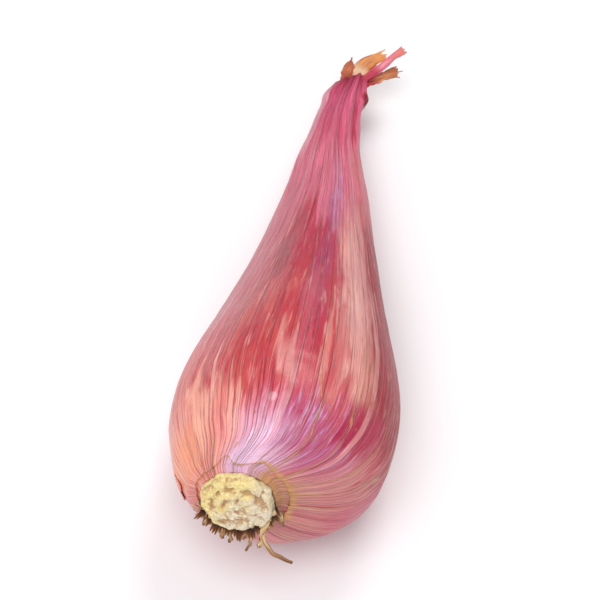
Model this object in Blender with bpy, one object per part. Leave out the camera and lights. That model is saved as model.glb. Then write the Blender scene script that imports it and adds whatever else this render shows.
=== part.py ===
"""A single shallot lying on its side, as it comes from the sack: one grown bulb that runs out into a
dried neck, with its corky root plate, a few dry root stubs, a torn flap of skin and the dry leaf ends.

+Y runs from the root end to the neck, +Z is up, and the origin is the middle of the small flat spot on
the belly that the shallot rests on. Sizes are written in millimetres and turned into metres when built.
"""

import math

import bmesh
import bpy
import numpy as np
from mathutils import Matrix, Vector, noise

MM = 0.001

# Driving sizes of the bulb, in millimetres
BULB_WIDTH = 26.6          # across the widest part, left to right
BULB_HEIGHT = 26.0         # the same place, up and down: a little flatter
ROOT_LENGTH = 11.9         # from the widest part back to the face that carries the root plate
NECK_LENGTH = 56.5         # from the widest part forward to the dried end of the neck
NECK_END_WIDTH = 3.0       # across the neck at its very end
NECK_END_FLATNESS = 0.68   # height over width there: a dried neck is squeezed flat
ROOT_FACE_WIDTH = 9.6      # across the flat face at the root end
ROOT_OFFSET = 3.4          # how far that face sits towards -X from the middle: the bulb is lopsided
ROOT_RISE = 1.8            # and how far it sits above the axis
NECK_DROP = 10.5           # degrees that the axis falls towards the neck
NECK_LIFT = 3.2            # how far the neck's end curls up from that line
NECK_SWAY = 0.75           # how far the neck leans towards -X just before that end
SPOT_DEPTH = 0.6           # how far the belly is pressed flat where it rests

# Sizes of what the bulb carries, in millimetres
GAP = 0.3                  # clearance between two touching pieces
PLATE_WIDTH = 8.7          # across the corky plate's rim
PLATE_WAIST = 7.2          # across its underside, where it meets the bulb
PLATE_THICKNESS = 1.9
PLATE_LUMPS = 0.4          # height of the lumps on it
ROOT_DIAMETER = 0.8        # of an ordinary root stub
DRY_SKIN = 0.34            # thickness of the dry leaf ends and of the skin flap

# Fineness of the bulb's mesh
AROUND = 48
ALONG = 44

# How full the bulb is along its axis: place as a share of ROOT_LENGTH (below 0) or of NECK_LENGTH
# (above 0), and radius as a share of the widest radius.
FULLNESS = [
    (-1.00, ROOT_FACE_WIDTH / BULB_WIDTH), (-0.985, 0.425), (-0.945, 0.536), (-0.86, 0.668),
    (-0.74, 0.780), (-0.56, 0.886), (-0.30, 0.970), (0.00, 1.000), (0.07, 0.990), (0.14, 0.939),
    (0.22, 0.850), (0.32, 0.726), (0.44, 0.594), (0.58, 0.455), (0.72, 0.333), (0.86, 0.216),
    (0.93, 0.172), (0.97, 0.150), (1.00, NECK_END_WIDTH / BULB_WIDTH),
]
# Lengthwise swellings, where the scales inside press the skin out: lobes round the bulb, height as a
# share of the radius, and the angle of the first crest in degrees.
LOBES = [(2, 0.012, 35.0), (3, 0.011, 80.0), (5, 0.008, 20.0), (7, 0.006, 10.0), (11, 0.003, 0.0)]
LOBE_GROWTH = 2.6

SKIN, CORK, ROOT, PINK_DRY, TAN_DRY, BROWN_DRY = (
    ("shallot_skin", (0.55, 0.11, 0.14), 0.36),
    ("cork", (0.72, 0.60, 0.36), 0.85),
    ("dry_root", (0.62, 0.48, 0.27), 0.80),
    ("dry_leaf_pink", (0.67, 0.22, 0.26), 0.60),
    ("dry_leaf_tan", (0.66, 0.41, 0.20), 0.75),
    ("dry_leaf_brown", (0.42, 0.20, 0.10), 0.80),
)


# Helpers

def smooth_through(stations, values, at):
    """A smooth curve through values at stations, read at the places in at: cubic pieces whose slope at
    each station comes from its two neighbours."""
    stations, values, at = np.asarray(stations), np.asarray(values, float), np.asarray(at, float)
    slopes = np.gradient(values, stations, axis=0)
    piece = np.clip(np.searchsorted(stations, at, side="right") - 1, 0, len(stations) - 2)
    width = stations[piece + 1] - stations[piece]
    share = (at - stations[piece]) / width
    if values.ndim > 1:
        width, share = width[..., None], share[..., None]
    start, end = values[piece], values[piece + 1]
    return (
        start * (2 * share**3 - 3 * share**2 + 1)
        + slopes[piece] * width * (share**3 - 2 * share**2 + share)
        + end * (3 * share**2 - 2 * share**3)
        + slopes[piece + 1] * width * (share**3 - share**2)
    )


def finish_of(name, colour, roughness):
    """A plain material with that colour and roughness, made once."""
    material = bpy.data.materials.get(name)
    if material is None:
        material = bpy.data.materials.new(name)
        material.use_nodes = True
        shader = material.node_tree.nodes["Principled BSDF"]
        shader.inputs["Base Color"].default_value = (*colour, 1.0)
        shader.inputs["Roughness"].default_value = roughness
        shader.inputs["Metallic"].default_value = 0.0
    return material


def add_object(name, data, finish, holder):
    """A new object in the scene, with its material, that moves with the holder."""
    made = bpy.data.objects.new(name, data)
    bpy.context.scene.collection.objects.link(made)
    made.data.materials.append(finish_of(*finish))
    made.parent = holder
    return made


def mesh_of(name, bm):
    """A mesh made from bm, with its faces pointing out and shaded smooth."""
    bmesh.ops.recalc_face_normals(bm, faces=bm.faces)
    data = bpy.data.meshes.new(name)
    bm.to_mesh(data)
    bm.free()
    data.shade_smooth()
    data.set_sharp_from_angle(angle=math.radians(50))
    return data


def join_rings(bm, rings):
    """Quads between each ring of vertices and the next, all the way round."""
    for ring, following in zip(rings, rings[1:], strict=False):
        for i, vertex in enumerate(ring):
            after = (i + 1) % len(ring)
            bm.faces.new((vertex, ring[after], following[after], following[i]))


# The bulb's own surface, in millimetres from the middle of its widest part

DROP = math.radians(NECK_DROP)
SIDE = np.array([1.0, 0.0, 0.0])
FORWARD = np.array([0.0, math.cos(DROP), -math.sin(DROP)])
UP = np.array([0.0, math.sin(DROP), math.cos(DROP)])

# The axis: place along it as for FULLNESS, then how far the middle of the bulb lies to the side and up
AXIS = [
    (-1.0, -ROOT_OFFSET, ROOT_RISE), (-0.945, -0.66 * ROOT_OFFSET, 0.66 * ROOT_RISE),
    (-0.86, -0.36 * ROOT_OFFSET, 0.36 * ROOT_RISE), (-0.56, -0.06 * ROOT_OFFSET, 0.06 * ROOT_RISE),
    (0.0, 0.0, 0.0),
    (0.3, 0.2 * NECK_SWAY, 0.0), (0.62, -0.2 * NECK_SWAY, 0.25 * NECK_LIFT),
    (0.93, -NECK_SWAY, 0.85 * NECK_LIFT), (1.0, 0.1 * NECK_SWAY, NECK_LIFT),
]


def along(shares):
    """Millimetres along the axis for shares of the root length (below 0) or of the neck length."""
    shares = np.asarray(shares, float)
    return np.where(shares < 0, shares * ROOT_LENGTH, shares * NECK_LENGTH)


def axis_at(station):
    """Points on the bulb's bent axis."""
    shares, aside, lifted = np.array(AXIS).T
    offsets = smooth_through(along(shares), np.stack([aside, lifted], axis=-1), station)
    return np.asarray(station)[..., None] * FORWARD + offsets[..., :1] * SIDE + offsets[..., 1:] * UP


def radius_at(station):
    """Half the bulb's width at that place."""
    shares, fullness = np.array(FULLNESS).T
    return smooth_through(along(shares), fullness, station) * BULB_WIDTH / 2


def skin_point(station, angle, lift=0.0):
    """Points on the skin: station along the axis, angle round it from +X over the top, lift off it. The
    swellings grow to LOBE_GROWTH times their height along the neck, where the dry skin is pleated."""
    station, angle = np.broadcast_arrays(np.asarray(station, float), np.asarray(angle, float))
    along_neck = np.clip(station / NECK_LENGTH, 0.0, 1.0)
    flatness = BULB_HEIGHT / BULB_WIDTH + (NECK_END_FLATNESS - BULB_HEIGHT / BULB_WIDTH) * along_neck**3
    swelling = sum(height * np.cos(count * (angle - math.radians(crest))) for count, height, crest in LOBES)
    radius = radius_at(station) * (1 + swelling * np.clip(1 + 3 * along_neck, 1, LOBE_GROWTH))
    across = (radius + lift) * np.cos(angle)
    upwards = (radius * flatness + lift) * np.sin(angle)
    return axis_at(station) + across[..., None] * SIDE + upwards[..., None] * UP


def bulb_mesh():
    """The bulb: rings along the axis, closer together at both ends, flat at the root face and at the
    neck's end, with the belly cut off level. Returns the mesh and the middle of the flat spot."""
    share = np.linspace(0, 1, ALONG)
    eased = share - 0.11 * np.sin(2 * math.pi * share)
    stations = -ROOT_LENGTH + eased * (ROOT_LENGTH + NECK_LENGTH)
    angles = np.arange(AROUND) * 2 * math.pi / AROUND
    bm = bmesh.new()
    rings = [[bm.verts.new(p) for p in skin_point(station, angles)] for station in stations]
    join_rings(bm, rings)
    for end in (rings[0], rings[-1]):
        bm.faces.new(end)
    belly = min(vertex.co.z for vertex in bm.verts)
    level = Vector((0.0, 0.0, belly + SPOT_DEPTH))
    everything = bm.verts[:] + bm.edges[:] + bm.faces[:]
    bmesh.ops.bisect_plane(bm, geom=everything, plane_co=level, plane_no=(0, 0, -1), clear_outer=True)
    rim = [edge for edge in bm.edges if edge.is_boundary]
    spot = bmesh.ops.contextual_create(bm, geom=rim)["faces"][0]
    middle = spot.calc_center_median_weighted()
    bmesh.ops.scale(bm, vec=(MM, MM, MM), verts=bm.verts)
    return mesh_of("bulb", bm), middle


# The pieces that it carries

def root_plate_mesh():
    """The corky plate, standing on its own XY plane: a lumpy button with a narrower underside. Each row
    of the profile is a radius and a share of the thickness."""
    rim, waist = PLATE_WIDTH / 2, PLATE_WAIST / 2
    profile = [
        (waist, 0.0), (waist * 1.03, 0.18), (rim * 0.985, 0.36), (rim, 0.55), (rim * 0.93, 0.80),
        (rim * 0.76, 0.98), (rim * 0.56, 0.93), (rim * 0.38, 0.99), (rim * 0.18, 0.90),
    ]
    sides = 30
    bm = bmesh.new()
    rings = []
    for level, (radius, height) in enumerate(profile):
        ring = []
        for i in range(sides):
            turn = i * 2 * math.pi / sides
            place = Vector((radius * math.cos(turn), radius * math.sin(turn), height * PLATE_THICKNESS))
            lump = noise.noise(place * 0.6) * PLATE_LUMPS if level > 1 else 0.0
            ring.append(bm.verts.new(place * (1 + 0.5 * lump / rim) + Vector((0, 0, lump))))
        rings.append(ring)
    join_rings(bm, rings)
    bm.faces.new(rings[0])
    bm.faces.new(rings[-1])
    bmesh.ops.scale(bm, vec=(MM, MM, MM), verts=bm.verts)
    return mesh_of("root_plate", bm)


# Each dry root stub: where it starts on the plate's rim, in degrees from straight down towards +X; its
# thickness as a share of ROOT_DIAMETER; and how far its middle and its tip lie from its start, to the
# side, down and away from the bulb.
ROOT_STUBS = [
    (-44.0, 0.90, (-0.3, 0.6, 0.2), (-0.7, 1.2, 0.5)),
    (-21.0, 1.20, (-0.1, 0.8, 0.3), (0.1, 1.7, 0.5)),
    (-6.0, 0.85, (-0.2, 1.4, 0.7), (-0.3, 2.9, 1.2)),
    (8.0, 1.25, (0.0, 0.8, 0.3), (0.1, 1.7, 0.3)),
    (23.0, 0.70, (-0.1, 1.6, 0.8), (-0.6, 3.4, 1.0)),
    (38.0, 0.95, (-0.1, 1.3, 0.6), (-0.1, 2.7, 1.0)),
    (57.0, 1.05, (0.1, 2.4, 0.8), (2.6, 4.9, 1.9)),
    (75.0, 1.00, (0.4, 0.8, 0.2), (0.7, 1.7, 0.3)),
]


def root_stub_curve(name, turn, thickness, middle, tip):
    """A dry root in the plate's own frame, where -Y is down and +Z looks out: a tapered, bent tube that
    starts just off the rim."""
    turn = math.radians(turn)
    reach = PLATE_WIDTH / 2 + GAP + 0.2 * ROOT_DIAMETER * thickness + 0.2 * PLATE_LUMPS
    start = np.array([reach * math.sin(turn), -reach * math.cos(turn), 0.5 * PLATE_THICKNESS])
    bends = np.array([(0.0, 0.0, 0.0), middle, tip]) * (1, -1, 1)
    data = bpy.data.curves.new(name, "CURVE")
    data.dimensions = "3D"
    data.bevel_depth = ROOT_DIAMETER / 2 * MM
    data.bevel_resolution = 1
    data.use_fill_caps = True
    spline = data.splines.new("POLY")
    steps = 8
    spline.points.add(steps - 1)
    for i, point in enumerate(spline.points):
        share = i / (steps - 1)
        place = start + smooth_through((0.0, 0.5, 1.0), bends, share)
        point.co = (*(place * MM), 1.0)
        point.radius = thickness * (1 - 0.4 * share)
    return data


def strip_mesh(name, rows, thickness):
    """A dry leaf: rows of points across it, from its foot to its tip, made thickness deep."""
    bm = bmesh.new()
    made = [[bm.verts.new(Vector(point) * MM) for point in row] for row in rows]
    for row, following in zip(made, made[1:], strict=False):
        for i in range(len(row) - 1):
            bm.faces.new((row[i], row[i + 1], following[i + 1], following[i]))
    bmesh.ops.recalc_face_normals(bm, faces=bm.faces)
    bmesh.ops.solidify(bm, geom=bm.faces[:], thickness=thickness * MM)
    return mesh_of(name, bm)


# The skin flap: from where it is held to its free edge, as shares of the root length; round the bulb,
# in degrees; and how far its free edge stands off.
FLAP_FROM, FLAP_TO = -0.46, -0.86
FLAP_ANGLES = (188.0, 212.0)
FLAP_LIFT = 0.8


def skin_flap_mesh():
    """A torn flap of the outermost skin beside the root plate, close to the bulb on its neck side and
    lifting off towards the root."""
    shares = np.linspace(FLAP_FROM, FLAP_TO, 7)
    angles = np.radians(np.linspace(*FLAP_ANGLES, 9))
    rows = []
    for share in shares:
        loosened = (share - FLAP_FROM) / (FLAP_TO - FLAP_FROM)
        ragged = 0.4 * loosened * np.cos(np.arange(len(angles)) * 2.3)
        narrowed = np.radians(np.mean(FLAP_ANGLES)) + (angles - np.mean(angles)) * (0.8 + 0.2 * loosened)
        rows.append(skin_point(along(share) - ragged, narrowed, GAP + DRY_SKIN + FLAP_LIFT * loosened**2))
    return strip_mesh("skin_flap", rows, DRY_SKIN)


# Each dry leaf end: its finish; where it stands on the neck's end, as shares of half its width to the
# side and of half its height up; the way it leaves and the way its tip points (to the side, forward,
# up); its length and width; how strongly it is rolled across, in radians either side of its middle; and
# how ragged its tip is.
LEAF_ENDS = {
    "dry_leaf_pink": (PINK_DRY, (0.63, 0.1), (0.72, 0.64, 0.20), (0.66, 0.60, 0.48), 6.6, 1.3, 1.5, 0.25),
    "dry_leaf_tan": (TAN_DRY, (-0.12, 0.7), (0.62, 0.80, 0.35), (0.84, 0.50, 0.22), 5.4, 2.1, 0.7, 0.6),
    "dry_leaf_brown": (BROWN_DRY, (0.4, -0.75), (0.95, 0.50, 0.0), (0.96, 0.16, 0.2), 4.8, 2.2, 0.6, 0.7),
    "dry_leaf_small": (BROWN_DRY, (-0.68, -0.46), (0.0, 1.0, 0.1), (0.2, 0.9, 0.4), 2.4, 1.2, 0.5, 0.2),
}


def leaf_end_mesh(name, foot, leaves, turns, length, width, rolled, ragged):
    """A dry leaf end: a strip that follows a bend away from the neck's end, rolled across its width and
    a little narrower at both ends. Its foot stands clear of the neck on its nearer corner."""
    frame = np.array([SIDE, FORWARD, UP])
    leaves, turns = np.array(leaves), np.array(turns)
    end_share = 0.75
    half_foot = width / 2 * end_share * math.sin(rolled) / rolled
    slant = abs(leaves[0]) / np.linalg.norm(leaves[:2])
    clear = GAP + DRY_SKIN / 2 * (1 - slant) + half_foot * slant
    aside, raised = foot[0] * NECK_END_WIDTH / 2, foot[1] * NECK_END_WIDTH * NECK_END_FLATNESS / 2
    place = axis_at(NECK_LENGTH) + np.array([aside, clear, raised]) @ frame
    steps, columns = 8, 7
    rows = []
    for step in range(steps):
        share = step / (steps - 1)
        way = leaves * (1 - share) + turns * share
        way /= np.linalg.norm(way)
        across = np.cross(way, (0.0, 0.0, 1.0))
        across /= np.linalg.norm(across)
        lifted = np.cross(across, way)
        radius = width / 2 / rolled * (end_share + (1 - end_share) * math.sin(math.pi * share))
        row = []
        for column in range(columns):
            bend = rolled * (2 * column / (columns - 1) - 1)
            tooth = ragged * share**4 * (1 if column % 2 else -1)
            local = across * radius * math.sin(bend) - lifted * radius * (1 - math.cos(bend))
            row.append(place + (local + way * tooth) @ frame)
        rows.append(row)
        place = place + (way * length / (steps - 1)) @ frame
    return strip_mesh(name, rows, DRY_SKIN)


# Assembly

def main():
    for old in list(bpy.data.objects):
        bpy.data.objects.remove(old)

    holder = bpy.data.objects.new("shallot", None)
    bpy.context.scene.collection.objects.link(holder)

    bulb, spot_middle = bulb_mesh()
    add_object("bulb", bulb, SKIN, holder)
    holder.location = -spot_middle * MM

    carried = [add_object("root_plate", root_plate_mesh(), CORK, holder)]
    for number, stub in enumerate(ROOT_STUBS, start=1):
        name = f"root_stub_{number}"
        carried.append(add_object(name, root_stub_curve(name, *stub), ROOT, holder))
    for piece in carried:
        piece.location = Vector(axis_at(-ROOT_LENGTH) - FORWARD * GAP) * MM
        piece.rotation_mode = "QUATERNION"
        piece.rotation_quaternion = Matrix(np.array([SIDE, UP, -FORWARD]).T).to_quaternion()

    add_object("skin_flap", skin_flap_mesh(), TAN_DRY, holder)
    for name, (finish, *shape) in LEAF_ENDS.items():
        add_object(name, leaf_end_mesh(name, *shape), finish, holder)


main()
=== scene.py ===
# %% [markdown]
# # A shallot lying on its side
# A shallot is one grown bulb wrapped in thin, glossy, papery skin. It swells to a belly, runs out into a
# long dried neck, and carries a corky root plate with a few dry root stubs at the other end. The solid
# model already gives the true sizes, so this lesson loads it as a fixed frame and lays the visible
# surfaces over it: nothing here decides a size, only a shape's finer relief and its finish.

# %% Load the solid model
import math

import bpy
import numpy as np
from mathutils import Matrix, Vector, noise
from mathutils.bvhtree import BVHTree


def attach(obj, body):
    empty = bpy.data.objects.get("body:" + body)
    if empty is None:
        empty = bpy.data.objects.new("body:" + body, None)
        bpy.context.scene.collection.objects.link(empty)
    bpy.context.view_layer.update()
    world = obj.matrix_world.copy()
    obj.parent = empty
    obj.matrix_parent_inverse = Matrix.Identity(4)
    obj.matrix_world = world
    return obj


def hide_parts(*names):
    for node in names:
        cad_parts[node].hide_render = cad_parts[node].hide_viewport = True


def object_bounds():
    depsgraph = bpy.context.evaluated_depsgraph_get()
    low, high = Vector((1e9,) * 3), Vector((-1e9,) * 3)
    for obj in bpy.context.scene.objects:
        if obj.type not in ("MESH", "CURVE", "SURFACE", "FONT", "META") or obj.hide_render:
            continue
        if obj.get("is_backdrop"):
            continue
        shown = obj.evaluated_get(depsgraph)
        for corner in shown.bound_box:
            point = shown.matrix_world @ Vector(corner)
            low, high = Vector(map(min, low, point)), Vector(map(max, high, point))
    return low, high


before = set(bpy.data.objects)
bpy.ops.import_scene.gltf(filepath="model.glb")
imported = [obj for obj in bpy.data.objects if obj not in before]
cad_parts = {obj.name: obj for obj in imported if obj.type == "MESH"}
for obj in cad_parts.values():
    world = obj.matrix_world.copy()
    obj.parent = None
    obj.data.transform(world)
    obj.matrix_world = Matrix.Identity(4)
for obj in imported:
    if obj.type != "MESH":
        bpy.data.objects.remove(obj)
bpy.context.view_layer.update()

MM = 0.001

# %% [markdown]
# ## Directions on the bulb
# Every surface of a bulb runs along its axis, from the root to the neck, so the work is easier in
# directions of its own than in X, Y and Z. The axis falls towards the neck because a shallot on its side
# rests on its belly and lets the light neck dip. Lengths are handled in millimetres, which are kinder
# numbers than metres for a thing this small, and are turned into metres only when a mesh is made.

# %% The bulb's own directions and its two ends
DROP = math.radians(10.5)
SIDE = np.array([1.0, 0.0, 0.0])
FORWARD = np.array([0.0, math.cos(DROP), -math.sin(DROP)])
UP = np.array([0.0, math.sin(DROP), math.cos(DROP)])

solid_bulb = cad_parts["bulb"].data
corners = np.array([vertex.co for vertex in solid_bulb.vertices]) / MM
ROOT_FACE, NECK_FACE = (corners @ FORWARD).min(), (corners @ FORWARD).max()
ROOT_LENGTH = 11.9
WIDEST = ROOT_FACE + ROOT_LENGTH
print("root face to neck end, mm:", round(NECK_FACE - ROOT_FACE, 1))

# %% [markdown]
# ## Measure the bulb with rays
# The solid bulb is made of flat facets about 2 mm across. They carry the shape but would glitter on a
# glossy skin. One way out is a subdivision surface, which shrinks the form a little everywhere; another is
# to measure the solid. Here rays go out from the middle of many cross-sections, and the distances they
# travel make a table of radii, one row per section and one column per direction. A table can be smoothed,
# pressed and pleated with plain arithmetic before any mesh exists.

# %% Middles of the cross-sections
shape = BVHTree.FromPolygons(
    [tuple(corner) for corner in corners], [tuple(face.vertices) for face in solid_bulb.polygons]
)


def distance_out(start, direction):
    """How far a ray travels from inside the bulb to its surface, in millimetres."""
    struck = shape.ray_cast(Vector(start), Vector(direction))
    return struck[3] if struck[3] is not None else 0.0


def centred(point):
    """The middle of the cross-section through a point inside it."""
    for _ in range(2):
        for way in (SIDE, UP):
            point = point + way * (distance_out(point, way) - distance_out(point, -way)) / 2
    return point


SECTIONS, END_GAP, NEAR_WIDEST = 160, 0.02, 2
heights = np.linspace(ROOT_FACE + END_GAP, NECK_FACE - END_GAP, SECTIONS)
start_row = int(np.argmin(abs(heights - WIDEST)))
inside = corners[abs(corners @ FORWARD - WIDEST) < NEAR_WIDEST].mean(axis=0)
inside += FORWARD * (heights[start_row] - inside @ FORWARD)
middles = np.zeros((SECTIONS, 3))
middles[start_row] = centred(inside)
for rows, step in ((range(start_row + 1, SECTIONS), 1), (range(start_row - 1, -1, -1), -1)):
    for row in rows:
        before = middles[row - step]
        middles[row] = centred(before + FORWARD * (heights[row] - heights[row - step]))
off_axis = (middles[-1] - middles[start_row]) @ np.array([SIDE, UP]).T
print("neck end lies off the axis by, mm:", off_axis.round(2))


def middle_at(station):
    """The middle of the cross-section at a station, which counts millimetres from the widest place."""
    height = np.asarray(station) + WIDEST
    return np.stack([np.interp(height, heights, middles[:, axis]) for axis in range(3)], axis=-1)


# %% [markdown]
# Rows that are evenly spaced along the axis would bunch up on the flank and stretch over the blunt root
# end, so the rows are spaced evenly along the skin instead. That needs the length of the outline first.
# The distance along the skin from the root plate is also worth keeping for the colours later on.

# %% Rows that are even along the skin
AROUND, ROWS = 312, 292
FINE_SECTIONS, FINE_GAP, EVERY = 420, 0.03, 24          # EVERY: the outline uses each 24th direction
TURNS = np.arange(AROUND) * 2 * math.pi / AROUND        # 0 is the top of the bulb, a quarter turn is +X
OUTWARDS = np.sin(TURNS)[:, None] * SIDE + np.cos(TURNS)[:, None] * UP

fine_stations = np.linspace(-ROOT_LENGTH + FINE_GAP, NECK_FACE - WIDEST - FINE_GAP, FINE_SECTIONS)
outline = np.array([
    np.mean([distance_out(middle, way) for way in OUTWARDS[::EVERY]]) for middle in middle_at(fine_stations)
])
skin_length = np.concatenate([[0], np.cumsum(np.hypot(np.diff(fine_stations), np.diff(outline)))])

reaches = np.linspace(0, skin_length[-1], ROWS)
stations = np.interp(reaches, skin_length, fine_stations)
row_middles = middle_at(stations)
radii = np.array([[distance_out(middle, way) for way in OUTWARDS] for middle in row_middles])


def outline_at(reach):
    """The bulb's mean radius at a distance along the skin from the root face."""
    return np.interp(reach, skin_length, outline)


print("skin from root face to neck end, mm:", round(float(skin_length[-1]), 1), "radii:", radii.shape)

# %% [markdown]
# ## Smooth the facets away
# A blur over the table rounds the facets and leaves the form alone, as long as it is only about as wide
# as a facet. The table wraps round in one direction, and in the other it is carried on past its ends by
# a turned copy of itself, so that the slope goes on too.

# %% Blur the table of radii
def blurred(table, rows_wide, columns_wide):
    """The table after a soft blur: so many rows wide, and so many columns wide going round."""
    def bell(width):
        reach = int(3 * width) + 1
        weights = np.exp(-0.5 * (np.arange(-reach, reach + 1) / width) ** 2)
        return weights / weights.sum(), reach

    weights, reach = bell(columns_wide)
    table = sum(w * np.roll(table, k, axis=1) for w, k in zip(weights, range(-reach, reach + 1)))
    weights, reach = bell(rows_wide)
    padded = np.pad(table, ((reach, reach), (0, 0)), mode="reflect", reflect_type="odd")
    return sum(w * padded[k:k + len(table)] for w, k in zip(weights, range(2 * reach + 1)))


BLUR_ROWS, BLUR_COLUMNS = 4.0, 4.4
smooth_radii = blurred(radii, BLUR_ROWS, BLUR_COLUMNS)
print("largest change by the blur, mm:", round(float(abs(smooth_radii - radii).max()), 2))

# %% [markdown]
# ## Relief in the skin
# Onion skin shrinks as it dries. It keeps its width less well than its length, so the relief runs
# lengthwise: broad soft lobes over the scales inside, narrower ribs over the veins, and deep pleats where
# the neck has collapsed. All of it comes from one kind of noise, sampled on a circle so that it closes
# round the bulb, and drawn out along the axis. Only details wider than the mesh's grid belong here; the
# finer ones come later as bump in the material.

# %% Noise drawn out along the bulb
def noise_at(x, y, z):
    """Noise between about -1 and 1 at points whose coordinates are numbers or tables."""
    return np.vectorize(lambda *point: noise.noise(point), otypes=[float])(x, y, z)


def drawn_out(count, per_mm, seed):
    """Noise over the table: there are more features round the bulb with more count, and more along it
    with more per_mm."""
    along = stations[:, None] * per_mm + 3 * seed
    return noise_at(np.sin(TURNS) * count + seed, np.cos(TURNS) * count - seed, along)


def rise(value, start, end):
    """0 up to start and 1 from end on, with an easy slope between; works backwards too."""
    share = np.clip((value - start) / (end - start), 0, 1)
    return share * share * (3 - 2 * share)


# how fast each changes round the bulb, how fast per millimetre along it, and its seed
LOBES, RIBS, PLEATS = (1.6, 0.02, 1.7), (5.0, 0.02, 8.2), (2.6, 0.028, 4.4)
DENTS, PITS = (3.2, 0.16, 6.1), (7.0, 0.5, 2.9)
LOBE_HEIGHT, RIB_HEIGHT, RIB_MORE, PLEAT_DEPTH, DENT_DEPTH, PIT_DEPTH = 0.22, 0.09, 0.05, 0.8, 0.07, 0.03

neck = rise(stations, 18, 50)[:, None]
root_end = rise(reaches, 12, 1)[:, None]
lobes = drawn_out(*LOBES) * LOBE_HEIGHT * (1 - 0.4 * neck)
ribs = drawn_out(*RIBS) * (RIB_HEIGHT + RIB_MORE * neck + RIB_MORE * root_end)
pleats = (0.22 - abs(drawn_out(*PLEATS))) * PLEAT_DEPTH * neck
dents = drawn_out(*DENTS) * DENT_DEPTH + drawn_out(*PITS) * PIT_DEPTH
relief = lobes + ribs + pleats + dents
print("relief, mm:", round(float(relief.min()), 2), "to", round(float(relief.max()), 2))

# %% [markdown]
# The outermost skin doesn't reach all the way round: its edge lies on the skin beneath and runs down the
# bulb a little to the right of the top. It is a step of only a tenth of a millimetre, but it catches the
# light. A small scar stands up near the root. The neck's end is cut on a slant, lower on its left side,
# and pinched to a knot on its right.

# %% The edge of the outer skin, and the slanting end of the neck
degrees = np.degrees(np.where(TURNS > math.pi, TURNS - 2 * math.pi, TURNS))[None, :]
EDGE_TURN, EDGE_WANDER, EDGE_STEP, EDGE_SLOPE = 21.0, 5.0, 0.1, 1.2
edge_wander = noise_at(stations * 0.09, 5.0, 1.0)[:, None] * EDGE_WANDER
past_edge = degrees - EDGE_TURN - edge_wander
edge_fades = (rise(stations, 46, 30) * rise(reaches, 3, 8))[:, None]
step_down = -EDGE_STEP * rise(past_edge, -EDGE_SLOPE, EDGE_SLOPE) * rise(past_edge, 42, 20) * edge_fades
relief = relief + step_down

leftness = (1 - np.sin(np.radians(degrees))) / 2
slant = rise(stations, 51, 56.4)[:, None] * (1.7 * leftness - 0.4)
on_left = rise(abs(degrees + 70), 80, 25)
on_right = rise(abs(degrees - 80), 80, 25)
waist = -0.4 * rise(stations, 42, 48) * rise(stations, 54.5, 51.5)
flare = 0.35 * rise(stations, 52, 55)
shoulder = (waist + flare)[:, None] * on_left + (0.4 * rise(stations, 44, 49))[:, None] * on_right


def bump_at(along, place, length, turn, spread, height):
    """A low round bump at a place along the bulb and a turn round it, with its length and spread."""
    return height * np.exp(-((along[:, None] - place) / length) ** 2 - ((degrees - turn) / spread) ** 2)


SCAR_REACH, SCAR_TURN = 10.2, -3.0
KNOT_PLACE, KNOT_TURN, KNOT_LENGTH, KNOT_SPREAD = 53.3, 87.0, 0.9, 19.0
THINNEST = 0.35
scar = bump_at(reaches, SCAR_REACH, 0.55, SCAR_TURN, 2.6, 0.04)
knot = bump_at(stations, KNOT_PLACE, KNOT_LENGTH, KNOT_TURN, KNOT_SPREAD, 0.55)
full_radii = np.maximum(smooth_radii + relief + shoulder + knot + scar, THINNEST)

skin_points = row_middles[:, None] + full_radii[..., None] * OUTWARDS - slant[..., None] * FORWARD
skin_points[..., 2] = np.maximum(skin_points[..., 2], 0.0)
print("skin, mm: lowest", skin_points[..., 2].min().round(2), "highest", skin_points[..., 2].max().round(2))

# %% [markdown]
# ## From a table of points to a mesh
# A table of points is a sheet of four-sided faces. If it wraps round, the last column joins the first.
# Loose numbers can travel with each point as attributes: the material reads them to know where on the
# bulb it is, which no texture projected from outside could tell it.

# %% Sheets from tables of points
def sheet_mesh(name, points, wraps, attributes=None):
    """A smooth-shaded mesh from a table of points in millimetres. Each attribute is a table of numbers,
    or of vectors, of the same shape."""
    rows, columns = points.shape[:2]
    index = np.arange(rows * columns).reshape(rows, columns)
    if wraps:
        index = np.concatenate([index, index[:, :1]], axis=1)
    faces = np.stack([index[:-1, :-1], index[:-1, 1:], index[1:, 1:], index[1:, :-1]], axis=-1)
    mesh = bpy.data.meshes.new(name)
    mesh.from_pydata((points.reshape(-1, 3) * MM).tolist(), [], faces.reshape(-1, 4).tolist())
    for key, values in (attributes or {}).items():
        values = np.broadcast_to(values, points.shape[:2] + np.shape(values)[2:]).astype(np.float32)
        kind, field = ("FLOAT_VECTOR", "vector") if values.ndim == 3 else ("FLOAT", "value")
        mesh.attributes.new(key, kind, "POINT").data.foreach_set(field, values.ravel())
    mesh.shade_smooth()
    mesh.update()
    return mesh


def place_piece(name, mesh, finish, replaces):
    """A visible piece with its finish, which rides on the one body there is and hides the CAD nodes that it
    stands for.
    """
    piece = bpy.data.objects.new(name, mesh)
    bpy.context.scene.collection.objects.link(piece)
    piece.data.materials.append(finish)
    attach(piece, "root")
    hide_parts(*replaces)
    return piece


# %% [markdown]
# ## Shader maths as plain expressions
# A material's colour depends on where a point lies, through sums and products that would take a page of
# nodes wired by hand. This small class wraps the output of a node, so that `1 - mask` or `mask * 0.3`
# adds the Math node by itself. Colours and vectors would be turned grey by a Math node, so they go
# through Mix and Vector Math instead. Every other node comes from one method, which takes its type, its
# settings and what goes into its sockets.

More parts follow.
